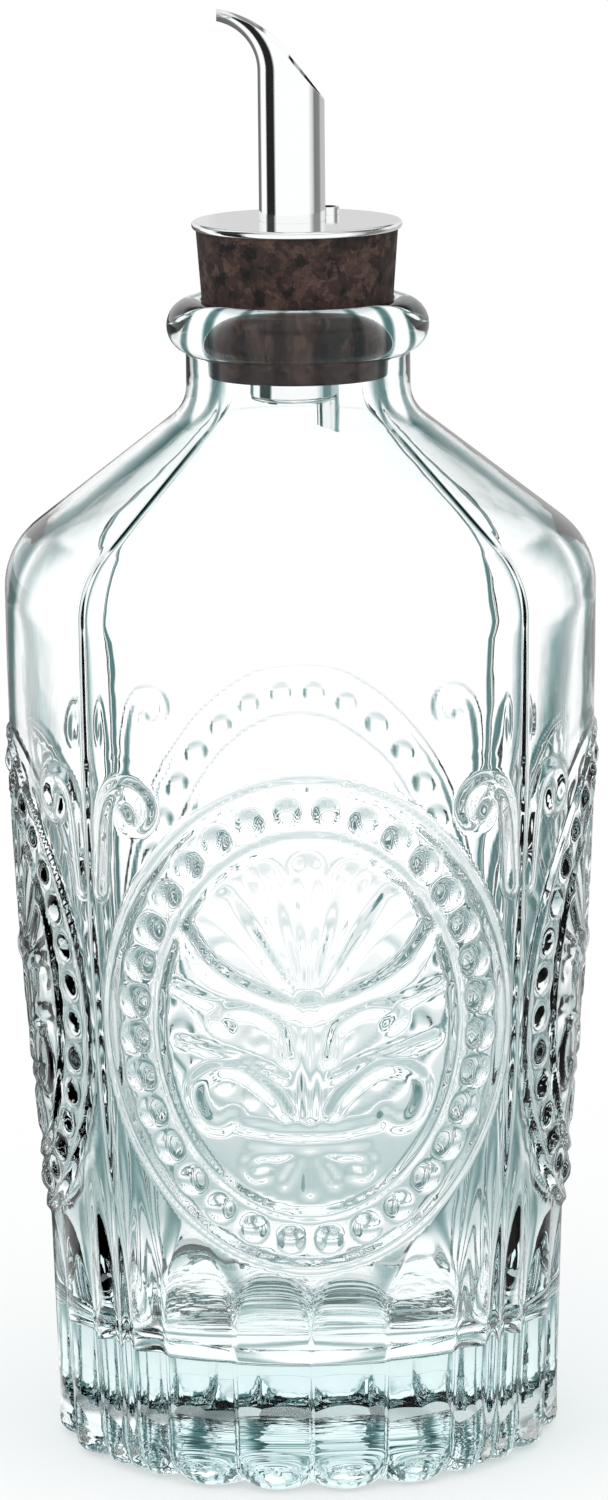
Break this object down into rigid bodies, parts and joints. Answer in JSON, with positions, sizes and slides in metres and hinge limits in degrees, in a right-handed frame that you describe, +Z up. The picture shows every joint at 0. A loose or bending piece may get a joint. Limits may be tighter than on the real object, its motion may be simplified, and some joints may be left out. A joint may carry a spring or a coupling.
{
  "type": "glass oil bottle with cork pourer",
  "caption": "Moulded glass oil bottle with bowed panels, beaded oval medallions and a lobed skirt, closed by a lift-out cork carrying a bent steel spout and a vent tube.",
  "frame": {"origin": "on the bottle's axis, in the plane it stands on", "axes": "+Z up along the bottle's axis, -Y towards the front panel, -X the way the spout pours"},
  "size_m": [0.0958, 0.0958, 0.2315],
  "materials": {
    "glass": "clear moulded glass, polished, faint green-blue tint",
    "cork": "dark brown pressed cork granules, matt",
    "steel": "polished stainless steel"
  },
  "bodies": {
    "bottle": {"bottle": "glass"},
    "stopper": {"cork": "cork", "cap_plate": "steel", "spout": "steel", "lower_ferrule": "steel", "vent_tube": "steel"}
  },
  "joints": [
    {"name": "stopper_lift", "type": "slide", "parent": "bottle", "child": "stopper", "axis": [0, 0, 1], "range_m": [0, 0.06]}
  ]
}
